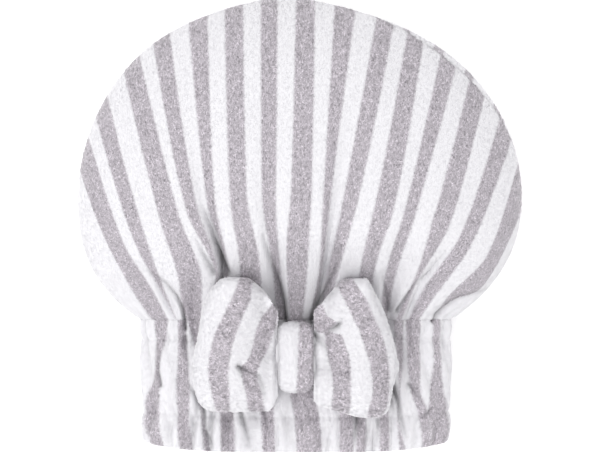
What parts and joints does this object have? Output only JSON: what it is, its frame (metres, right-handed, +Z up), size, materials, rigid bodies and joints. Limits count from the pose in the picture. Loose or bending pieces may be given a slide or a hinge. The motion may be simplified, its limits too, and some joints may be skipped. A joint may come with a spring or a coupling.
{
  "type": "hair drying cap",
  "caption": "Soft striped towelling cap for drying hair, with a puffed crown, a deep gathered elastic band and a bow over its front, laid on its back.",
  "frame": {"origin": "middle of the underside of the cap's bounding box, on the surface it lies on", "axes": "+Z up, which is the way the front and the bow face; +Y from the band's hem to the top of the crown; +X to the right seen from the front"},
  "size_m": [0.2658, 0.272, 0.0818],
  "materials": {
    "towelling": "soft pile, grey and white stripes"
  },
  "bodies": {
    "root": {"crown_front_panel": "towelling", "crown_back_panel": "towelling", "elastic_band": "towelling", "bow": "towelling", "bow_knot": "towelling"}
  },
  "joints": []
}
